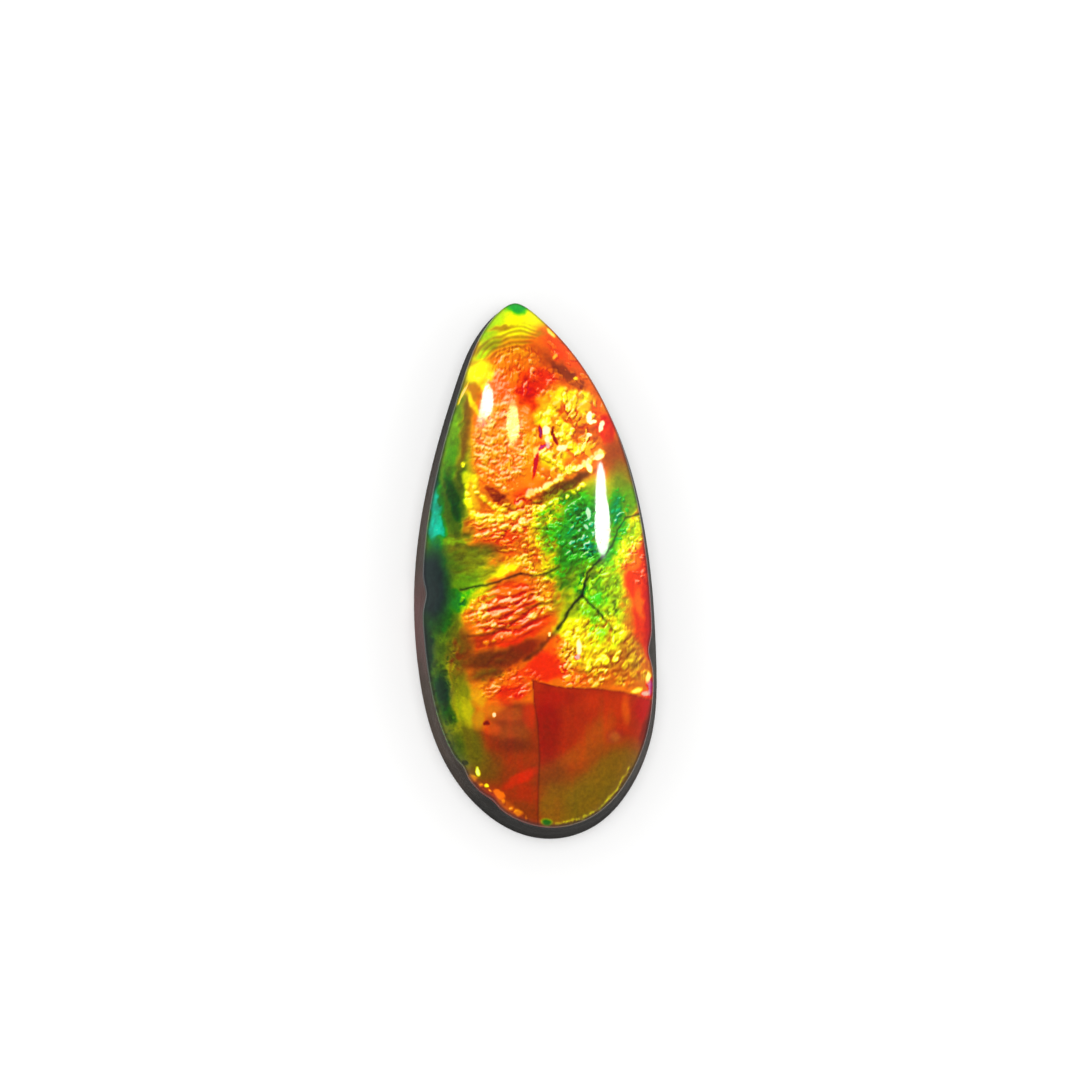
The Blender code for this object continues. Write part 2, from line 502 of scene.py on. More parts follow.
def wandering(points, *moves):
    """The points, moved a little by clouds, so that edges drawn on them wander. A move is how far, the
    clouds' size and their seed."""
    for amount, size, seed in moves:
        shift = [cloud(points, size, seed), cloud(points, size, seed + 5)]
        points = points + amount * np.column_stack(shift)
    return points


def turned(points, degrees):
    """The points in axes turned by this angle, so that x runs along it."""
    angle = np.radians(degrees)
    return points @ np.array([[np.cos(angle), -np.sin(angle)], [np.sin(angle), np.cos(angle)]])


def patch(points, x, y, half_length, half_width, turn=0, softness=5):
    """1 inside an oval patch and 0 outside it. All but its turn is given in tenths."""
    oval = turned(points - np.array([x, y]) / 10, turn) / (np.array([half_length, half_width]) / 10)
    soft = softness / 10
    return eased((1 + soft - np.linalg.norm(oval, axis=1)) / (2 * soft))


def along_path(points, path):
    """How far each point is from the path, given in tenths, and how far along the path it lies."""
    away, along, travelled = np.full(len(points), np.inf), np.zeros(len(points)), 0.0
    path = np.array(path) / 10
    for start, end in zip(path, path[1:]):
        span = np.linalg.norm(end - start)
        share = np.clip((points - start) @ (end - start) / span**2, 0, 1)
        distance = np.linalg.norm(points - start - share[:, None] * (end - start), axis=1)
        along = np.where(distance < away, travelled + share * span, along)
        away = np.minimum(away, distance)
        travelled += span
    return away, along


def beads(points, long, short, turn, seed, filled=1.0):
    """Beads of nacre, one in each cell of a loose grid, none quite round. 1 on a bead, below 0 round it."""
    ragged = wandering(points, (0.12, 0.55, seed + 40), (0.11, 0.2, seed + 50))
    scaled = turned(ragged, turn) / np.array([long, short])
    cell = np.floor(scaled).astype(np.int64)
    height, groove = np.zeros(len(points)), np.zeros(len(points))
    for i in (-1, 0, 1):
        for j in (-1, 0, 1):
            column, row = cell[:, 0] + i, cell[:, 1] + j
            chance = {k: hashed(column, row, seed + k) for k in (0, 1, 2, 3, 4, 7, 8)}
            place = np.column_stack([column, row]) + 0.5
            off = scaled - place - 0.8 * (np.column_stack([chance[0], chance[1]]) - 0.5)
            radius = 0.62 * (0.40 + 0.85 * chance[2])
            lie = chance[7] * np.pi
            aspect = 0.65 + 0.9 * chance[8]
            ahead = (off[:, 0] * np.cos(lie) + off[:, 1] * np.sin(lie)) * aspect
            aside = (off[:, 1] * np.cos(lie) - off[:, 0] * np.sin(lie)) / aspect
            clump = hashed(column // 3, row // 3, seed + 6)
            strength = (0.35 + 0.65 * chance[4]) * (0.65 + 0.5 * clump)
            strength *= chance[3] < filled * (0.6 + 0.8 * clump)
            dome = 1 - (np.cbrt(np.abs(ahead) ** 3 + np.abs(aside) ** 3) / radius) ** 2
            height = np.maximum(height, strength * np.clip(dome * 1.8, 0, 1))
            groove = np.maximum(groove, strength * np.exp(-(((dome + 0.45) / 0.45) ** 2)))
    return np.where(height > 0.25 * groove, height, -0.38 * groove)


def in_relief(soft):
    """A soft cloud made crisper, from 0 to 1."""
    return 0.5 + 0.5 * np.clip(2.6 * soft, -1, 1)


def waves(points, apart, turn, seed, wander, broken, run):
    """Roughly parallel crinkles. A crest is 1, a trough 0, and crests break up along their length."""
    ragged = wandering(points, (wander, 1.2, seed + 20), (0.07, 0.24, seed + 25))
    lengths = turned(ragged, turn)
    bends = cloud(lengths / np.array([run * 1.6, apart * 1.8]), 1.0, seed + 30)
    crest = 0.5 + 0.5 * np.cos(2 * np.pi * (lengths[:, 1] / apart + 1.1 * bends))
    gaps = in_relief(cloud(lengths / np.array([run, apart * 0.9]), 1.0, seed + 31))
    return eased(crest * (1 - broken + broken * gaps) * 1.25)


def crumple(points, size, turn, stretch, seed):
    """Hammered folds without a grain, from 0 to 1."""
    squeezed = turned(wandering(points, (0.16, 0.5, seed + 20)), turn) / np.array([stretch, 1])
    return in_relief(cloud(squeezed, size, seed, 3))


def arcs(points, centre, apart, seed):
    """Growth lines of the shell round one centre, from 0 to 1."""
    reach = np.linalg.norm(points - np.array(centre), axis=1)
    return 0.5 + 0.5 * np.cos(2 * np.pi * (reach / apart + 0.55 * cloud(points, 0.9, seed)))


# Patches of colour in the shell: colour order and glow in hundredths, then x, y, half length and half
# width in tenths of a millimetre on the ruler, and turn and softness where they aren't 0 and 5
# tenths. A later patch lies over an earlier one, and the first pair lies under them all.
FLASHES = (
    (75, 95),
    # the left flank
    (47, 50, -53, 5, 130, 13.5, 86, 3.5), (66, 48, -41.5, 83, 28, 4.2, 80), (42, 85, -47.5, 83, 13, 3, 78),
    (39, 72, -49.5, 64, 15, 4.5, 80), (50, 40, -43, 54, 9, 3, 85), (42, 42, -48.5, 39, 18, 5, 100),
    (17.5, 97, -57.5, 31, 19, 4.2, 88, 4), (17.5, 102, -57.5, 26, 7, 5, 88),
    (20, 45, -59, 53, 10, 2.5, 80, 6), (31, 82, -55, 18.5, 3.5, 2, 0, 6), (42, 38, -44, 29, 4, 11, 0, 6),
    (27, 36, -47.5, 42, 14, 2.6, 104), (44, 78, -47, 17.5, 9, 2.2, 4), (60, 38, -35, 11.5, 14, 3.2, -6),
    (33, 56, -59.5, -10, 26, 10.5, 92, 4), (50, 68, -34, 2, 11, 7, 10), (43, 48, -45, 4, 6, 6),
    (29, 62, -44.5, -15, 6, 4.5, 10), (51, 52, -38, 8, 7, 5), (42, 62, -39, -6, 9, 5, 10),
    (67, 66, -39, 24, 4, 7), (34, 50, -53, -31, 9, 4.5, 60), (34, 36, -62, -46, 18, 3.5, 92),
    (45, 47, -54, -52, 12, 5, 92), (33, 40, -54, -72, 10, 5, 100), (60, 48, -45, -55, 22, 5.5, 92),
    (36, 38, -50, -85, 9, 4, 105), (54, 50, -42, -76, 10, 6, 80), (49, 37, -43, -111, 21, 9, 115),
    (53, 74, -41, -90, 13, 3.5, 98),
    # the pointed end
    (55, 100, -9, 149, 19, 11, 8, 2.5), (47, 97, -25, 145, 15, 5.5, 62), (45, 92, -27, 139, 7, 4, 60),
    (29, 95, -10, 157.5, 7.5, 3.6), (63, 74, -19, 144.5, 7.5, 1.3, 14, 6),
    (68, 92, -12, 132, 22, 8, 12, 3.5), (53, 62, -27, 133, 10, 3, 30, 6),
    (47, 95, -32, 127.5, 6, 2.2, 25, 6), (76, 97, 7, 136, 10, 10, -50, 4), (68, 80, 3.5, 141, 3.5, 2, 0, 6),
    # the right shoulder
    (81, 97, 18, 126, 18, 7, -52, 3), (79, 92, 27, 113, 10, 4.5, -55, 4), (79, 80, 13, 121, 20, 5, -40),
    (80, 56, 21, 116, 16, 2.6, -38, 4), (78, 93, 34, 105, 9, 3, -62, 4), (83, 100, 13, 129, 3, 3),
    # the left shoulder
    (74, 97, -13, 122, 13, 9, -10, 3.5), (73, 102, -19, 83, 17.5, 40, 0, 2.5),
    (55, 103, -31, 117.5, 9.5, 6.8, 20, 2.5), (57, 100, -30, 110, 3.5, 5, 0, 4),
    (69, 80, -37, 106, 4.5, 5.5, 55, 4), (79, 113, -20, 111, 5, 7), (79, 110, -18, 100, 6, 9),
    # the first patch here, cream at x -2.5, y 9.4, is painted highlight: a soft halo at the lower end of
    # the highlight on the left shoulder
    (68, 114, -25, 94, 5, 5, 0, 6), (56, 100, -36, 99, 1.7, 9.5, 32), (79, 97, -10, 116, 5.5, 6, 0, 4),
    (85, 100, 1, 112, 11, 7.5, 28, 2.5), (93, 98, -6.5, 107, 6, 3.8, 0, 3.5),
    (89, 92, -4, 100, 6, 4.2, -30, 3.5), (73, 105, -6, 71, 6, 12), (71, 108, -5, 92, 4, 8),
    # the mottled ground right of it
    (58, 99, 21, 98, 19, 10.5, -18, 2), (57, 100, 7, 92, 7, 6.5, -20, 3), (80, 90, 18, 93.5, 2, 5.5, 18, 4),
    (79, 84, 28, 88, 16, 4.2, -34, 4), (78, 97, 36, 97, 4.5, 6, 0, 4), (91, 97, 42, 84, 5, 9.5, 15, 3.5),
    (76, 80, 32, 79, 7, 5, -30, 3.5), (56, 102, 17, 84, 6.5, 5, -45, 2.5),
    (55, 102, 23, 75, 3.5, 6.5, 18, 2.5), (57, 102, 13, 79, 9, 4.5, -15, 4), (66, 106, 1, 80, 5, 5),
    (74, 86, 28, 80.5, 5, 4, -20), (68, 104, 1, 60, 5, 5), (59, 95, 12.5, 65, 12, 6.5, -25, 3),
    (67, 104, -2, 68, 4, 9), (75, 95, 25, 65.5, 8.5, 2.5, 22, 4), (72, 97, 32, 71.5, 6, 3, 20),
    (77, 66, 49, 69, 9, 10, -20), (64, 58, 52, 57, 9, 8, -60), (48, 54, 52, 48, 10, 7, -60),
    (72, 102, -2, 55, 6, 6),
    # the waist
    (75.5, 98, -9, 32, 26, 10, 8, 3.5), (84, 100, -6, 43, 8, 5.5, 20, 4), (63, 97, -35.5, 43, 4, 12, 8, 3),
    (58, 102, -27.5, 33.5, 11, 4.2, -8, 3), (72, 84, -29.5, 42.5, 4, 5, 20),
    (58, 100, -20, 37.5, 8, 1.6, -22, 4), (84, 46, -20.5, 44, 10, 3, -38, 4),
    (74, 66, -15, 39.5, 5, 2, -25), (81, 95, -17, 19, 12, 5, 0, 4), (74, 60, -24, 13.5, 9, 2.5, -5),
    (71, 86, -5, 14, 6, 6, 0, 4), (71, 92, -20, 6, 9, 3, 12), (75, 99, -3.5, 2, 5, 11, 0, 4),
    (55, 104, -15.5, 2.2, 11.5, 3.6, 30, 3), (66, 92, 7, 2, 7, 8, 0, 4),
    # the green heart
    (46, 68, 26, 36, 26, 14.5, 25, 4), (47, 66, 11, 26, 11, 12), (34, 86, 26, 36, 10, 7, 32),
    (29, 82, 26, 24, 15, 11, 35), (20, 86, 28, 33, 6, 3.5, 35), (34, 72, 23, 8, 15, 10, 15),
    (16, 74, 34, 12, 4.5, 5), (43, 50, 20, -8, 9, 9), (23, 86, 48, 35, 5, 11), (42, 74, 55, 42, 5, 8),
    (36, 95, 44, 9, 9, 8, 50, 4), (38, 86, 51, 22, 5, 10, -30, 4), (32, 90, 39, 4, 6, 7, 30, 4),
    (73, 42, 15.5, 49.5, 21, 3, 27, 4), (55, 102, 57.5, 22, 5, 12, -28, 3), (54, 100, 49, 7, 4, 11, -38, 3),
    (85, 98, 64, 4, 7.5, 15, 0, 3), (69, 99, 55, 2, 3, 6, -35),
    # the beaded field and the right flank
    (51, 96, 39, -26, 23, 29, 12, 2.5), (29, 86, 27.5, -9, 5, 6, -20, 4), (27, 100, 35, -7, 4.5, 4.5, 0, 4),
    (36, 100, 37.5, -14, 8, 8.5, 0, 4), (48, 82, 47, -9, 7, 9, 15, 4), (42, 100, 36, -34, 5.5, 7, 0, 3),
    (50, 78, 20, -24, 4, 8, -35, 4), (55, 103, 22, -36, 11.5, 7.5, 12, 2.5),
    (58, 102, 21, -49, 4.5, 9, -12, 4), (56, 102, 31, -54, 11, 6, 22, 3), (80, 98, 23, -62, 7, 6, 0, 4),
    (70, 76, 49, -57, 15, 8, 38, 4), (70, 86, 55, -28, 4.5, 18, 6), (86, 95, 64, -18, 6, 37, -3, 3),
    (85, 98, 60, -3, 8.5, 15, 0, 3), (92, 84, 68.5, -20, 4.2, 34, 2), (77, 96, 61, -19, 2.5, 9, 10),
    (76, 100, 59, 4, 3, 5, -20), (73, 82, 62, -61, 9, 11, 0, 4), (76, 86, 42, -65, 9, 4.5, 35, 4),
    (100, 110, 67.5, -69, 1.6, 6),
    # the ridges
    (84, 98, -14.5, -25, 25, 15.5, 14, 2.5), (43, 82, -33, -14, 9, 7.5, 25, 4.5), (31, 64, -44, -19, 5, 5),
    (68, 96, -37, -29, 5, 9, -10), (37, 85, -39, -13.5, 4, 2.5, 15), (87.5, 100, -12, -20, 17, 5, 20),
    (88, 100, -5, -12, 4, 5, 0, 4), (67, 98, 6, -13, 6, 8, 0, 4), (55, 72, 15, -19, 5, 8, -30),
    (88, 95, -8, -34, 16, 6, 20, 4), (87, 100, -15, -41.5, 9, 3.5, 15, 4), (81, 90, -32, -43, 7, 4, 0, 4),
    (82, 52, -8, -47.5, 14, 5, 28, 4.5), (75, 43, -26, -53, 16, 6, 8), (70, 47, -42, -47, 6, 12),
    (67, 47, -27, -62, 11, 4, 12), (76, 93, -10, -56, 6, 1.3, 28), (80, 103, -11, -63, 10, 3, 22),
    # the red wedge and the ground left of it
    (87.2, 100, 7.5, -57, 13.5, 9.5, 22, 2.5), (80, 100, 12, -45, 5.5, 6, 30, 4),
    (69, 97, -23, -70, 10, 5, 10, 4), (87, 99, -12, -72, 9, 5, 10, 3.5), (66, 90, -32, -77, 5, 9),
)
LEFT_PLATE = (
    (80, 66),
    (42, 40, -52, -89, 12, 32, 12, 4), (72, 97, -26, -81, 9, 8), (83, 96, -12, -75, 11, 4.5, 10),
    (78, 84, -14, -86, 8, 4), (83, 88, -3, -87, 4, 8), (77, 74, -13, -97, 9, 6, 0, 6),
    (80, 56, -12, -106, 11, 5, -10, 7), (79, 93, -25, -94, 6, 4, -10), (81, 72, -8, -113, 10, 5, 10),
    (86, 94, -8, -124, 11, 3.6, 30, 4), (82, 74, -5, -133, 10, 5), (78, 60, -6, -144, 7, 5, -20, 6),
    (77, 84, -16, -141, 8, 3, -32), (69, 50, -29, -118, 9, 10, 20), (58, 44, -39, -104, 9, 17, 20),
    (47, 42, -49, -98, 5.5, 18, 22), (56, 78, -39, -83, 4, 10, 10), (68, 92, -32, -89, 4, 6),
)
RIGHT_PLATE = (
    (84.5, 78),
    (88.5, 72, 8, -92, 7, 22), (87, 78, 15, -76, 14, 5), (83, 82, 40, -79, 14, 6),
    (79, 94, 53, -83, 2.5, 9, 0, 6), (90, 88, 63, -82, 5, 9), (78, 80, 36, -98, 16, 7, 50, 8),
    (77, 76, 22, -112, 12, 5, 35, 8), (76, 90, 47, -99, 3, 3, 0, 6), (86, 52, 64, -100, 2.5, 16, -12),
    (76, 62, 10, -124, 13, 9, 0, 6), (66, 54, 50, -123, 22, 19, 30), (63.5, 52, 33, -140, 28, 19, 20),
    (68, 59, 10, -140, 8, 11, 0, 6), (33, 55, 7, -150, 3, 2, 0, 6),
)
# Where the lower plates meet the rest, in tenths: the step across the stone and the join between them.
STEP = ((-1, -65.5), (9, -68.5), (19, -70), (34, -70.2), (52, -72.5), (70, -77.5))
JOIN = ((-1, -65.5), (-0.5, -76), (2, -92), (3, -112), (2.2, -132), (2, -156))
# Crinkles and beads: their kind, what its function is given with lengths in millimetres, strength, the
# colour order and glow of a crest, and the areas they cover, given as the patches are.
CRINKLES = (
    # the pointed end and the shoulders
    (arcs, ((-0.9, 11.2), 0.27, 5), 0.5, 64, 60, (-17, 136, 19, 7.5, 20)),
    (crumple, (0.3, 70, 1.6, 11), 0.5, 80, 84, (-10, 122, 16, 12)),
    (beads, (0.36, 0.22, 75, 12, 0.75), 0.7, 66, 103, (-10, 123, 15, 11)),
    (beads, (0.42, 0.2, -50, 13, 0.4), 0.6, 70, 102, (19, 125, 18, 9, -52)),
    (crumple, (0.24, 20, 1.4, 14), 0.5, 92, 90, (2, 110, 12, 9, 20)),
    (beads, (0.32, 0.18, 70, 15, 0.3), 0.7, 76, 103, (3, 112, 12, 8, 20)),
    # the peach ground on the left
    (crumple, (0.22, -20, 1.8, 21), 0.6, 79, 97, (-20, 82, 17, 36)),
    (beads, (0.26, 0.14, 5, 22, 0.6), 0.4, 70, 106, (-20, 104, 12, 12)),
    (beads, (0.5, 0.19, 6, 23, 0.85), 0.9, 64, 107, (-20, 73, 16, 26)),
    (beads, (0.34, 0.15, -38, 24, 0.55), 0.8, 61, 108, (-20, 73, 16, 26)),
    # the mottled ground on the right
    (crumple, (0.36, 65, 1.4, 31), 0.65, 75, 92, (21, 88, 23, 24, -15), (10, 66, 13, 11)),
    (beads, (0.56, 0.36, 80, 32, 0.7), 0.85, 56.5, 104, (24, 98, 15, 10, -15), (9, 91, 8, 6)),
    (beads, (0.5, 0.27, 60, 33, 0.5), 0.95, 56, 110, (18, 82, 19, 18, -15), (10, 65, 13, 11)),
    (crumple, (0.3, 20, 1.4, 36), 0.8, 77, 86, (27.5, 79.5, 6, 4.5, -25)),
    (beads, (0.45, 0.3, 60, 37, 1), 0.9, 55, 104, (17.5, 82, 6, 5.5, -20)),
    # the waist
    (crumple, (0.26, 14, 2.2, 41), 0.7, 83, 86, (-13, 30, 28, 14, 10), (-10, 15, 20, 12)),
    (beads, (0.5, 0.18, 14, 42, 0.75), 0.85, 61, 104, (-13, 30, 27, 13, 10), (-10, 15, 19, 11)),
    (crumple, (0.26, 30, 1.4, 43), 0.7, 74, 72, (3, 8, 11, 19)),
    (beads, (0.32, 0.2, 30, 44, 0.7), 0.9, 57, 108, (3, 7, 11, 18), (0, 29, 13, 8, 20)),
    (crumple, (0.26, 12, 2.2, 45), 0.8, 52, 36, (-35, 5, 15, 11), (-44, 18, 9, 5)),
    # the green heart
    (crumple, (0.3, 27, 2, 51), 0.8, 38, 42, (24, 24, 21, 26, 20), (21, 0, 15, 16)),
    (beads, (0.4, 0.19, 27, 52, 0.55), 0.85, 33, 98, (22, 26, 21, 24, 25), (22, 5, 14, 12)),
    (beads, (0.3, 0.17, 30, 53, 0.45), 0.95, 20, 120, (26, 25, 14, 20, 20), (49, 33, 7, 15)),
    (beads, (0.32, 0.2, 30, 54, 0.6), 0.95, 34, 108, (9, 20, 9, 8), (29, 8, 10, 6)),
    (crumple, (0.24, 45, 1.8, 55), 0.6, 40, 62, (50, 20, 12, 26, -15)),
    (beads, (0.4, 0.2, 50, 56, 0.7), 0.75, 54, 105, (56.5, 18, 6.5, 18, -25)),
    (beads, (0.28, 0.18, 50, 57, 0.5), 0.8, 34, 99, (43, 8, 7, 11, 30)),
    (beads, (0.3, 0.24, 0, 58, 0.4), 0.8, 78, 108, (62, 1, 6, 11)),
    # the ridges
    (crumple, (0.24, 20, 3.5, 62), 0.9, 88.5, 85, (-15, -24, 24, 17, 14)),
    (waves, (0.52, 21, 61, 0.18, 0.35, 1.8), 0.85, 74, 101, (-15, -24, 23.5, 17, 14)),
    (beads, (0.8, 0.19, 21, 63, 0.5), 0.8, 66, 101, (-16, -23, 21.5, 15, 14)),
    (beads, (0.4, 0.18, -60, 64, 0.6), 0.7, 51, 100, (-35, -20, 9, 11)),
    (crumple, (0.26, 30, 1.5, 65), 0.6, 78, 78, (7, -16, 10, 14)),
    (beads, (0.38, 0.22, 22, 66, 0.75), 0.9, 58, 107, (7, -14, 6.5, 13)),
    # the beaded field
    (crumple, (0.26, 50, 1.6, 71), 0.9, 46, 48, (36, -16, 17, 22, 12)),
    (beads, (0.34, 0.2, 55, 72, 0.6), 0.9, 47, 107, (39, -16, 14, 22, 12)),
    (crumple, (0.28, 38, 1.5, 73), 0.9, 70, 72, (39, -48, 24, 19), (54, -56, 14, 13, 30)),
    (beads, (0.44, 0.27, 38, 74, 0.62), 1, 55.5, 104, (36, -45, 22, 19), (55, -58, 11, 10, 30)),
    (beads, (0.4, 0.27, 30, 77, 0.9), 0.9, 38, 99, (37, -32, 7, 10, 10), (32, -22, 5, 8)),
    (beads, (0.4, 0.28, 20, 75, 0.8), 0.6, 55, 106, (26, -37, 12, 8)),
    (beads, (0.32, 0.22, 60, 76, 0.6), 0.85, 62, 106, (19, -54, 5, 14), (32, -65, 14, 5, 15)),
    (crumple, (0.26, 60, 1.5, 78), 0.8, 66, 70, (59, -51, 6, 9)),
    # the ground between the ridges and the plates
    (crumple, (0.26, 22, 1.8, 81), 0.5, 86, 86, (-14, -69, 18, 9, 12)),
    (beads, (0.5, 0.18, 22, 82, 0.6), 0.75, 71, 105, (-15, -68, 18, 9, 14)),
    (crumple, (0.34, 20, 1.6, 83), 0.5, 84, 50, (-30, -53, 22, 13)),
    (crumple, (0.26, 90, 1.8, 84), 0.45, 42, 26, (-53, -45, 11, 46), (-49, 48, 8, 22, -8)),
    (crumple, (0.28, 80, 2, 87), 0.5, 44, 40, (-47.5, 82, 6, 26, -10)),
    (crumple, (0.22, 85, 1.8, 88), 0.5, 19, 62, (-57.5, 28, 5, 15)),
    (beads, (0.3, 0.2, 60, 85, 0.35), 0.5, 38, 16, (-56, -62, 8, 26), (-49, -96, 6, 20, 12)),
    (beads, (0.3, 0.2, 80, 86, 0.5), 0.35, 54, 82, (-43, -86, 6, 17, 8), (-48, -56, 5, 16)),
)
# Rows of beads along the crests of folds, and at the end three rows of painted glints along the rim: how
# far apart and how wide in millimetres, order, glow, and the path in tenths.
BEAD_ROWS = (
    (0.42, 0.2, 56, 106, ((-40, 56), (-39, 46), (-38, 39), (-35, 33), (-29, 29.5), (-21, 30.5), (-12, 33))),
    (0.36, 0.14, 57, 104, ((-35, 55), (-34.5, 47.5), (-29, 41.5), (-24, 38), (-19, 34.5))),
    (0.32, 0.17, 56, 122, ((-3, 45), (5, 48.5), (12, 53), (21, 58.5), (30, 63.5), (39, 69.5))),
    (0.36, 0.13, 54, 122, ((-7, 29), (2, 36), (11, 41), (20, 45), (28, 51))),
    (0.34, 0.15, 55, 112, ((4, 69), (12, 65), (17, 60), (23, 61))),
    (0.4, 0.12, 60, 105, ((-33, 20), (-25, 23.5), (-17, 26), (-7, 24))),
    (0.9, 0.13, 63, 106, ((-35, -37.5), (-24, -33.5), (-13, -28.5), (-7, -25))),
    (0.8, 0.12, 68, 112, ((-33, -23), (-22, -17.5), (-13, -14))),
    (0.5, 0.13, 59, 110, ((-2, -27.5), (5, -26), (12, -23))),
    (0.4, 0.1, 66, 103, ((-29, -43.5), (-23, -41.5), (-17, -39.5))),
    (0.45, 0.13, 57, 115, ((35, -68.5), (40, -64.5), (43, -59))),
    # these three rows are no folds: they are painted glints, thin lines of light along the rim's bevel low
    # on the stone
    (0.55, 0.13, 70, 98, ((-37, -123), (-25, -133), (-12, -143), (-2, -149))),
    (0.14, 0.07, 58, 70, ((13, -151), (28, -148), (39, -142), (48, -130), (55, -118))),
    (0.3, 0.08, 40, 62, ((-57, -86), (-54, -96), (-50, -105))),
)
# Single flecks, given as the patches are. The dark ones are the shell's own colour; the bright ones, with
# glow well over 100, are painted glints of lamp light on the nacre.
FLECKS = (
    (55, 160, 32, 91.5, 1.5, 3.4, -12), (55, 150, 34, 88.5, 2.4, 1.2, 25), (55, 150, 39, 86, 1.3, 3.6, -15),
    (60, 145, 32, 81, 1.4, 1.2), (55, 150, 6.5, 83.5, 2.8, 2.2, 45), (58, 140, 7.5, 78, 1.3, 2.8),
    (60, 140, 16, 73, 3, 1.8), (56, 145, 26, -46, 1.5, 5), (100, 125, 25, -51.5, 1.6, 1.6),
    (60, 135, 8.7, -38, 1, 1.3), (70, 130, -17, -17.5, 3.8, 1, 20), (65, 140, -23.7, -86.2, 1.3, 1.4),
    (88, 50, -28, -91, 1.6, 1.4), (97, 128, 64.5, -73.5, 2.4, 1.5), (57, 112, 59.5, -71.5, 3.5, 1.6, 20),
    # the second fleck here is a painted glint of light along the rim's bevel on the upper left
    (56, 122, 66.2, -63.5, 1.3, 3.5, -12), (62, 116, -42, 105, 7.5, 0.8, 64),
    # the first two flecks here, and all three on the next line, are painted light round the main lamp's
    # highlight: glints at its top and its halo on its left
    (52, 140, 32, 61, 1.4, 3.2, 20), (52, 132, 26, 61, 2.8, 0.9, 25), (100, 130, 7.5, 74.5, 1.3, 2, 20),
    (60, 140, 37.5, 67.5, 3, 1.6, 20), (21, 130, 31.5, 34, 1.4, 4, 5), (22, 125, 30, 26, 1.2, 2.2, 30),
    (55, 105, -41.5, 63, 1, 1.6), (75, 100, -21, -134, 4.2, 2.6, -40), (50, 20, -41, -115, 2, 1.8),
    (50, 118, -33, -120, 1.4, 2.8, 10), (55, 105, -28, -128.5, 1.4, 1.2),
    (60, 112, 9.5, 141.5, 3.6, 1.2, -48), (66, 106, 12, 127.5, 1.8, 1, 50), (60, 106, 24, 114.5, 1.2, 1.2),
    (96, 96, 0.5, 63, 1.1, 8, -10), (100, 102, 4.5, 73.5, 3, 1, 30), (100, 80, 3.5, 82.5, 1, 4.2, 8),
    (95, 66, 12, 78.5, 0.9, 4.2, 22), (90, 50, 10.5, 83, 0.7, 2.6, -10),
)
# Hairline cracks in the shell: how wide each looks in millimetres, how dark, and the path in tenths.
CRACKS = (
    (0.06, 0.55, ((61, 33.5), (53, 31), (49, 24), (43, 12), (37, 5))),
    (0.075, 0.72, ((40, 8.5), (37, 5), (31, -1), (29.5, -8), (27.5, -14.5))),
    (0.1, 0.8, ((27.5, -14.5), (22, -21), (17, -29), (13.5, -35))),
    (0.15, 0.45, ((13.5, -35), (8, -41), (2, -48), (-6, -53))),
    (0.07, 0.72, ((27.5, -14.5), (34, -21), (40, -28))),
    (0.06, 0.4, ((40, -28), (47, -36))),
    (0.085, 0.66, ((-43, -11.5), (-34, -9.5), (-24, -7.5), (-15, -4.5), (-8, -1.5))),
    (0.08, 0.5, ((-8, -1.5), (-1, -3.5), (8, -1), (14, 2))),
    (0.08, 0.35, ((-39, -39), (-29, -38.5), (-20, -35), (-10, -30))),
    (0.09, 0.35, ((-6, -22), (3, -20.5), (12, -18.5))),
)
# Dull grey-blue shell, where the colour is lost: how dull, and then as in the patches.
DULL = (
    (0.92, -59.5, -9, 24, 9.5, 92, 4.5),
    (0.65, -54, -72, 10, 5, 100, 6),
    (0.6, -62, -44, 16, 4, 92, 6),
    (0.14, -14, -92, 11, 13, 0, 6),
    (0.2, 47, -99, 4, 4, 0, 7),
    (0.08, 10, -120, 10, 10, 0, 7),
)


def laid_over(values, share, order, glow):
    """Colour order and glow, with these laid over them by their share."""
    share = share[:, None]
    return values * (1 - share) + share * (np.array([order, glow]) / 100)


def painted(points, patches):
    """Colour order and glow where these patches lie over each other."""
    values = np.tile(np.array(patches[0]) / 100, (len(points), 1))
    for order, glow, *place in patches[1:]:
        values = laid_over(values, patch(points, *place), order, glow)
    return values


def crinkled(points, values):
    """The patches with their crinkles and beads, and the relief these make."""
    relief = np.zeros(len(points))
    for kind, sizes, strength, order, glow, *areas in CRINKLES:
        share = np.max([patch(points, *area, softness=2.8) for area in areas], axis=0)
        here = share > 0.01
        share = share[here] * strength * kind(points[here], *sizes)
        values[here] = laid_over(values[here], share, order, glow)
        relief[here] += share * (1 if glow > 90 else -1)
    return relief


def plates_at(points):
    """How far each point lies on the left and on the right of the plates below the step."""
    step, join = np.array(STEP) / 10, np.array(JOIN) / 10
    under = points[:, 1] < np.interp(points[:, 0], step[:, 0], step[:, 1])
    join_x = np.interp(-points[:, 1], -join[:, 1], join[:, 0])
    right = (under & (points[:, 0] > join_x) & (points[:, 1] < join[0, 1])).astype(float)
    fade = eased((-7.9 + 0.6 * cloud(points, 1.0, 31) - points[:, 1]) / 0.7 + 0.5)
    flank = eased((points[:, 0] + 4.3 - 0.12 * (points[:, 1] + 9.0)) / 0.7 + 0.5)
    return fade * flank * (points[:, 0] <= join_x), right


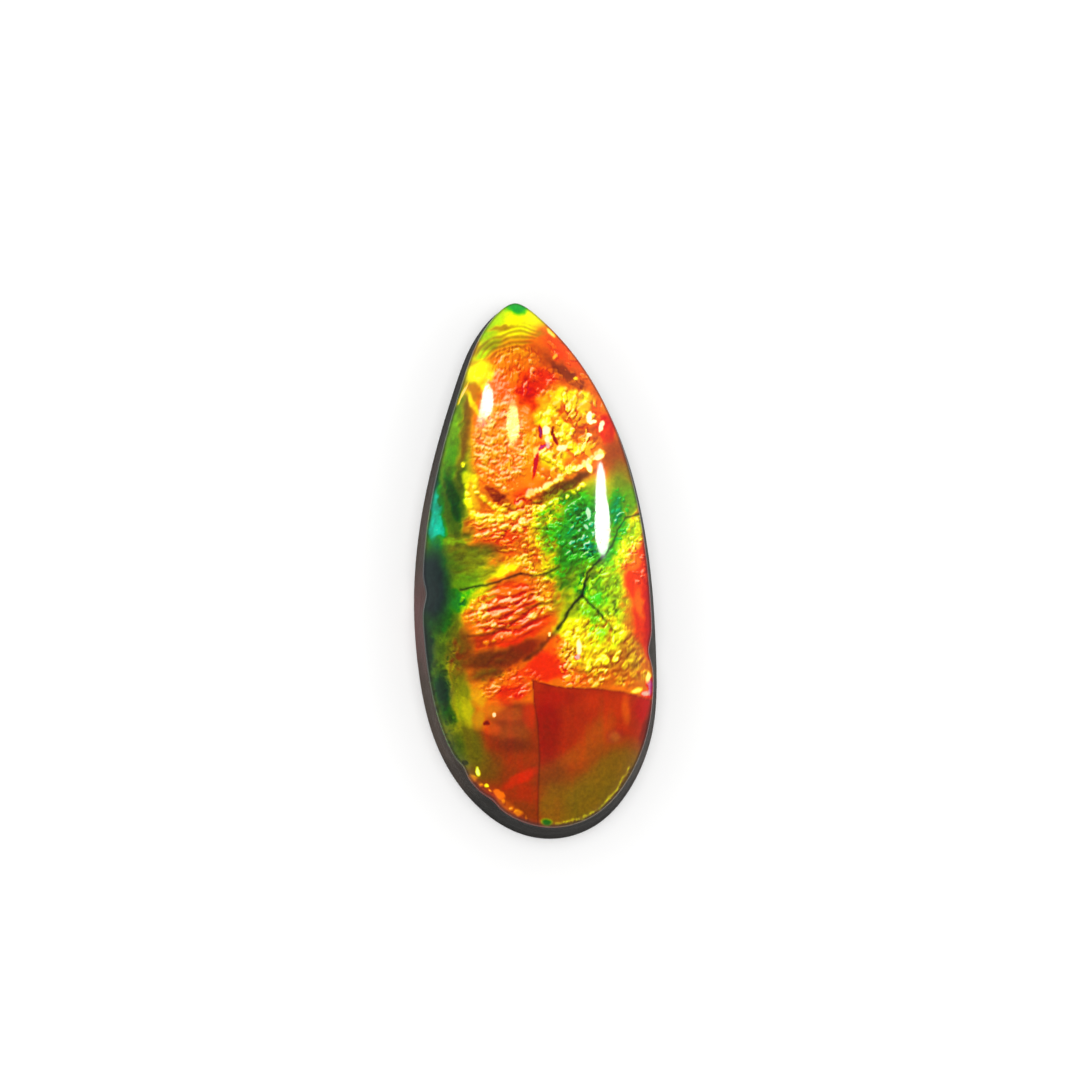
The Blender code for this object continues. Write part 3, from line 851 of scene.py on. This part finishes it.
def shell_pattern(points):
    """Colour order and glow side by side, and the relief of the shell at points in millimetres."""
    values = painted(wandering(points, (0.15, 1.1, 3), (0.14, 0.35, 13)), FLASHES)
    relief = crinkled(points, values)

    # the plates below the step lie smooth, with faint streaks from top to bottom
    left, right = plates_at(points)
    calm = wandering(points, (0.12, 0.9, 3))
    for share, plate in ((left, LEFT_PLATE), (right, RIGHT_PLATE)):
        values = values * (1 - share[:, None]) + share[:, None] * painted(calm, plate)
        relief *= 1 - share
    plates = left + right
    streaks = cloud(points * np.array([1, 0.14]), 0.35, 41) + 0.6 * cloud(points, 0.7, 43)
    values[:, 0] += plates * 0.018 * streaks
    values[:, 1] *= (1 - 0.10 * plates) * (1 + plates * 0.085 * streaks)

    ragged = wandering(points, (0.10, 0.6, 71), (0.07, 0.16, 73))
    for apart, width, order, glow, path in BEAD_ROWS:
        away, along = along_path(ragged, path)
        number = np.floor(along / apart).astype(np.int64)
        middle = 0.5 + 0.5 * (hashed(number, number * 7, 77) - 0.5)
        size = width * (0.55 + 0.75 * hashed(number, number * 7, 78))
        off = np.hypot((along / apart - number - middle) * apart * 0.75, away)
        share = eased(1.6 - off / size) * (0.5 + 0.5 * hashed(number, number, 79))
        values = laid_over(values, share, order, glow)
        relief += share
    return values, relief


def pattern_at(points):
    """Colour order, glow, relief and dullness of the shell at points in millimetres, with light and shade
    painted on its crinkles' slopes and painted glints among the flecks.
    """
    values, relief = shell_pattern(points)
    # painted light and shade: slopes of the crinkles that face LIGHT_FROM are painted brighter, those
    # facing away darker, and the colour order shifts a little with it
    reach = LIGHT_FROM * 0.07
    rise = shell_pattern(points + reach)[1] - shell_pattern(points - reach)[1]
    lit = np.clip(-rise * 0.9, -1, 1)
    values[:, 0] -= 0.045 * lit * eased((values[:, 0] - 0.25) / 0.3)
    values[:, 1] = values[:, 1] * (1 + 0.28 * lit) + 0.05 * cloud(points, 0.14, 91)
    for width, depth, path in CRACKS:
        away = along_path(wandering(points, (0.09, 0.35, 61)), path)[0]
        width = width * (1 + 0.35 * cloud(points, 0.3, 62))
        values[:, 1] *= 1 - depth * np.exp(-((away / width) ** 2))
    for path in (STEP, JOIN):
        values[:, 1] *= 1 - 0.22 * np.exp(-((along_path(points, path)[0] / 0.06) ** 2))
    ragged = wandering(points, (0.06, 0.2, 81))
    for order, glow, *place in FLECKS:
        values = laid_over(values, patch(ragged, *place, softness=3), order, glow)
    drift = wandering(points, (0.2, 0.9, 95))
    dull = np.max([amount * patch(drift, *place) for amount, *place in DULL], axis=0)
    return values[:, 0], values[:, 1] * 0.97, relief, dull


def on_the_print(places):
    """Where the photograph shows these places, read off the ruler."""
    seen = (places * MM - np.array(EYE)) @ np.array([RIGHT, UP, -TOWARDS_CAMERA]).T
    pixels = seen[:, :2] / seen[:, 2:] * LENS / SENSOR * PRINT
    zero = [PRINT / 2 - RULER_ZERO[0], RULER_ZERO[1] - PRINT / 2]
    return (pixels + zero) * np.array(RULER_STEP)


def light_of(value):
    """One sRGB channel from 0 to 255, as linear light."""
    share = value / 255
    return share / 12.92 if share <= 0.04045 else ((share + 0.055) / 1.055) ** 2.4


def ammolite_finish():
    """The colour of each order of interference, dimmed by its glow, with glow above 1 painted cream-white
    as glints of lamp light, under a clear polish.
    """
    material, graph = new_material("ammolite")
    place = in_millimetres(graph)
    order, glow, relief, dull = (
        graph.add("ShaderNodeAttribute", {"attribute_name": name}, output="Fac")
        for name in ("order", "glow", "relief", "dull")
    )
    fine = graph.add("ShaderNodeTexNoise", {}, {"Vector": place, "Scale": 9.0, "Detail": 3.0})
    cells = {"Vector": place, "Scale": 8.0, "Randomness": 1.0}
    flake = graph.add("ShaderNodeTexVoronoi", {"feature": "F1"}, cells, "Distance")
    order = order + (fine - 0.5) * 0.025
    glow = glow + (fine - 0.5) * 0.05 - (flake - 0.45) * 0.04
    stops = [(stop, [light_of(value) for value in colour]) for stop, colour in ORDER_COLOURS]
    colour = graph.add("ShaderNodeValToRGB", {"stops": stops}, (order,), "Color")
    lit = glow.within() ** 2.2
    colour = graph.mix("RGBA", lit, (0.0060, 0.0052, 0.0044, 1), colour)
    # glow above 1 turns the colour cream-white: painted glints and highlights of lamp light on the nacre
    colour = graph.mix("RGBA", ((glow - 1.00) * 2.0).within(), colour, (1.0, 0.95, 0.62, 1))
    slate = graph.mix("RGBA", lit, (0.006, 0.007, 0.012, 1), (0.026, 0.033, 0.060, 1))
    bumps = {"Strength": 0.45, "Distance": 0.05 * MM, "Height": relief * 0.7 + fine * 0.5}
    surfaced(
        graph,
        {
            "Base Color": graph.mix("RGBA", dull, colour, slate),
            "Roughness": 0.30 + fine * 0.2,
            "Metallic": lit * 0.05,
            "Normal": graph.add("ShaderNodeBump", {}, bumps),
            "Specular IOR Level": 0.03,
            "Coat Weight": 0.35,
            "Coat Roughness": 0.05,
            "Coat IOR": 1.45,
        },
    )
    return material


shell_lean = lean(EDGE_HEIGHT)
shell = domed_stone(
    "ammolite_layer_polished",
    {
        "Columns": 190,
        "Rows": 400,
        "Rim Inset": shell_lean + RIM_BEVEL_WIDTH,
        "Rim Height": EDGE_HEIGHT + RIM_BEVEL_HEIGHT,
        "Dome Rise": DOME_RISE,
        "Hollow Rise": BED_RISE,
    },
    [
        (shell_lean + 0.07 * MM, EDGE_HEIGHT + 0.085 * MM),
        (shell_lean + 0.02 * MM, EDGE_HEIGHT + 0.03 * MM),
        (shell_lean + 0.005 * MM, EDGE_HEIGHT - 0.03 * MM),
        (lean(FOOT_HEIGHT), FOOT_HEIGHT),
    ],
    SHELL_CLOSING,
    ammolite_finish(),
)
places = vectors_of(shell.data, "position") / MM
drawn_in(shell, chip_depth(places))
order, glow, relief, dull = pattern_at(on_the_print(places))
edge = eased((2.68 - places[:, 2]) / 0.03)  # the shell seen edge-on, below its bevel
glow = glow * (1 - 0.35 * edge)
relief = relief * (1 - edge)
for name, values in (("order", order), ("glow", glow), ("relief", relief), ("dull", dull)):
    shell.data.attributes.new(name, "FLOAT", "POINT").data.foreach_set("value", values)
tidied(shell, 30)
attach(shell, "root")
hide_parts("ammolite_layer")


# The table the stone lies on
# A plain near-white sheet, large enough to fill the view from every side.
TABLE_REACH = 2.0
floor_mesh = bpy.data.meshes.new("floor")
corners = [(x * TABLE_REACH, y * TABLE_REACH, 0) for x, y in ((-1, -1), (1, -1), (1, 1), (-1, 1))]
floor_mesh.from_pydata(corners, [], [(0, 1, 2, 3)])
floor = in_scene("floor", floor_mesh)
paper, graph = new_material("paper")
surfaced(graph, {"Base Color": (0.93, 0.93, 0.93, 1), "Roughness": 0.9, "Specular IOR Level": 0.1})
floor_mesh.materials.append(paper)


# The camera
# It looks almost straight down, from a little below the rounded end and a little to the left, so the
# wall shows along those two sides.
camera_data = bpy.data.cameras.new("camera")
camera_data.lens = LENS
camera_data.sensor_width = SENSOR
camera_data.clip_start = 1 * MM
camera_data.clip_end = 10.0
camera = in_scene("camera", camera_data)
camera.location = EYE
camera.rotation_euler = Matrix((RIGHT, UP, TOWARDS_CAMERA)).transposed().to_euler()
bpy.context.scene.camera = camera


# The light
# A soft tent that is bright round the sides and dark overhead, so the polish stays deep, and four
# small lamps whose reflections stand on the dome.
LAMP_DISTANCE = 0.45
# Each highlight: where it stands in the print, how wide and tall it is there, the lamp's radiance
# and its colour.
HIGHLIGHTS = (
    ((601, 492), (10, 62), 95.0, (1.0, 1.0, 1.0)),
    ((603, 522), (15, 60), 95.0, (1.0, 1.0, 1.0)),
    ((488, 399), (12, 29), 90.0, (1.0, 0.98, 0.90)),
    ((513, 423), (13, 39), 85.0, (1.0, 0.90, 0.28)),
)
TENT_COLOUR = (1.0, 0.995, 0.985, 1)
TENT_SIDES = 1.2
TENT_TOP = 0.05
SOFTBOX_HEIGHT = 1.2
SOFTBOX_WIDTH = 1.2
SOFTBOX_RADIANCE = 3.15

world = bpy.data.worlds.new("tent")
bpy.context.scene.world = world
world.use_nodes = True
graph = Graph(world.node_tree)
direction = graph.add("ShaderNodeTexCoord", output="Generated")
upward = graph.add("ShaderNodeSeparateXYZ", {}, (direction,)).other("Z")
fall = {"Value": upward, "From Min": 0.45, "From Max": 0.85, "To Min": TENT_SIDES, "To Max": TENT_TOP}
strength = graph.add("ShaderNodeMapRange", {"interpolation_type": "SMOOTHSTEP"}, fall)
tent = graph.add("ShaderNodeBackground", {}, {"Color": TENT_COLOUR, "Strength": strength})
graph.add("ShaderNodeOutputWorld", {}, {"Surface": tent})


def mirrored(column, row):
    """Where the polish shows this pixel of the print, and the direction mirrored there."""
    across, up = (part / PRINT * SENSOR / LENS for part in (column - PRINT / 2, PRINT / 2 - row))
    ray = (RIGHT * across + UP * up - TOWARDS_CAMERA).normalized()
    _, place, normal, _ = shell.ray_cast(camera.location, ray)
    return place, ray.reflect(normal).normalized()


def on_lamp(column, row, centre, away, facing):
    """Where this pixel's mirrored ray meets the plane of a lamp."""
    start, ray = mirrored(column, row)
    met = start + ray * ((centre - start).dot(away) / ray.dot(away)) - centre
    return np.array([met.dot(facing @ Vector((1, 0, 0))), met.dot(facing @ Vector((0, 1, 0)))])


def ellipse_lamp(name, length, width, radiance, tint):
    """An oval lamp of this radiance. It shines along its own -Z."""
    data = bpy.data.lights.new(name, "AREA")
    data.shape = "ELLIPSE"
    data.size = length
    data.size_y = width
    data.energy = radiance * np.pi * np.pi * length * width / 4
    data.color = tint
    return in_scene(name, data)


softbox = ellipse_lamp("softbox", SOFTBOX_WIDTH, SOFTBOX_WIDTH, SOFTBOX_RADIANCE, (1.0, 1.0, 1.0))
softbox.location = (0, 0, SOFTBOX_HEIGHT)
softbox.visible_glossy = False  # so the polish mirrors only the dark top of the tent
bpy.context.view_layer.update()
for number, ((column, row), (wide, tall), radiance, tint) in enumerate(HIGHLIGHTS):
    place, away = mirrored(column, row)
    facing = away.to_track_quat("Z", "Y")
    plane = (place + away * LAMP_DISTANCE, away, facing)
    left, right, top, bottom = (
        on_lamp(column + x * wide / 2, row + y * tall / 2, *plane)
        for x, y in ((-1, 0), (1, 0), (0, -1), (0, 1))
    )
    spread = np.column_stack([right - left, bottom - top]) / 2
    axes, (long, short), _ = np.linalg.svd(spread)
    lamp = ellipse_lamp(f"lamp_{number}", 2 * long, 2 * short, radiance, tint)
    lamp.visible_diffuse = False  # it makes a highlight and no shadow
    lamp.location = plane[0]
    turn = Matrix.Rotation(np.arctan2(axes[1, 0], axes[0, 0]), 3, "Z")
    lamp.rotation_euler = (facing.to_matrix() @ turn).to_euler()

bpy.context.scene.view_settings.view_transform = "Standard"
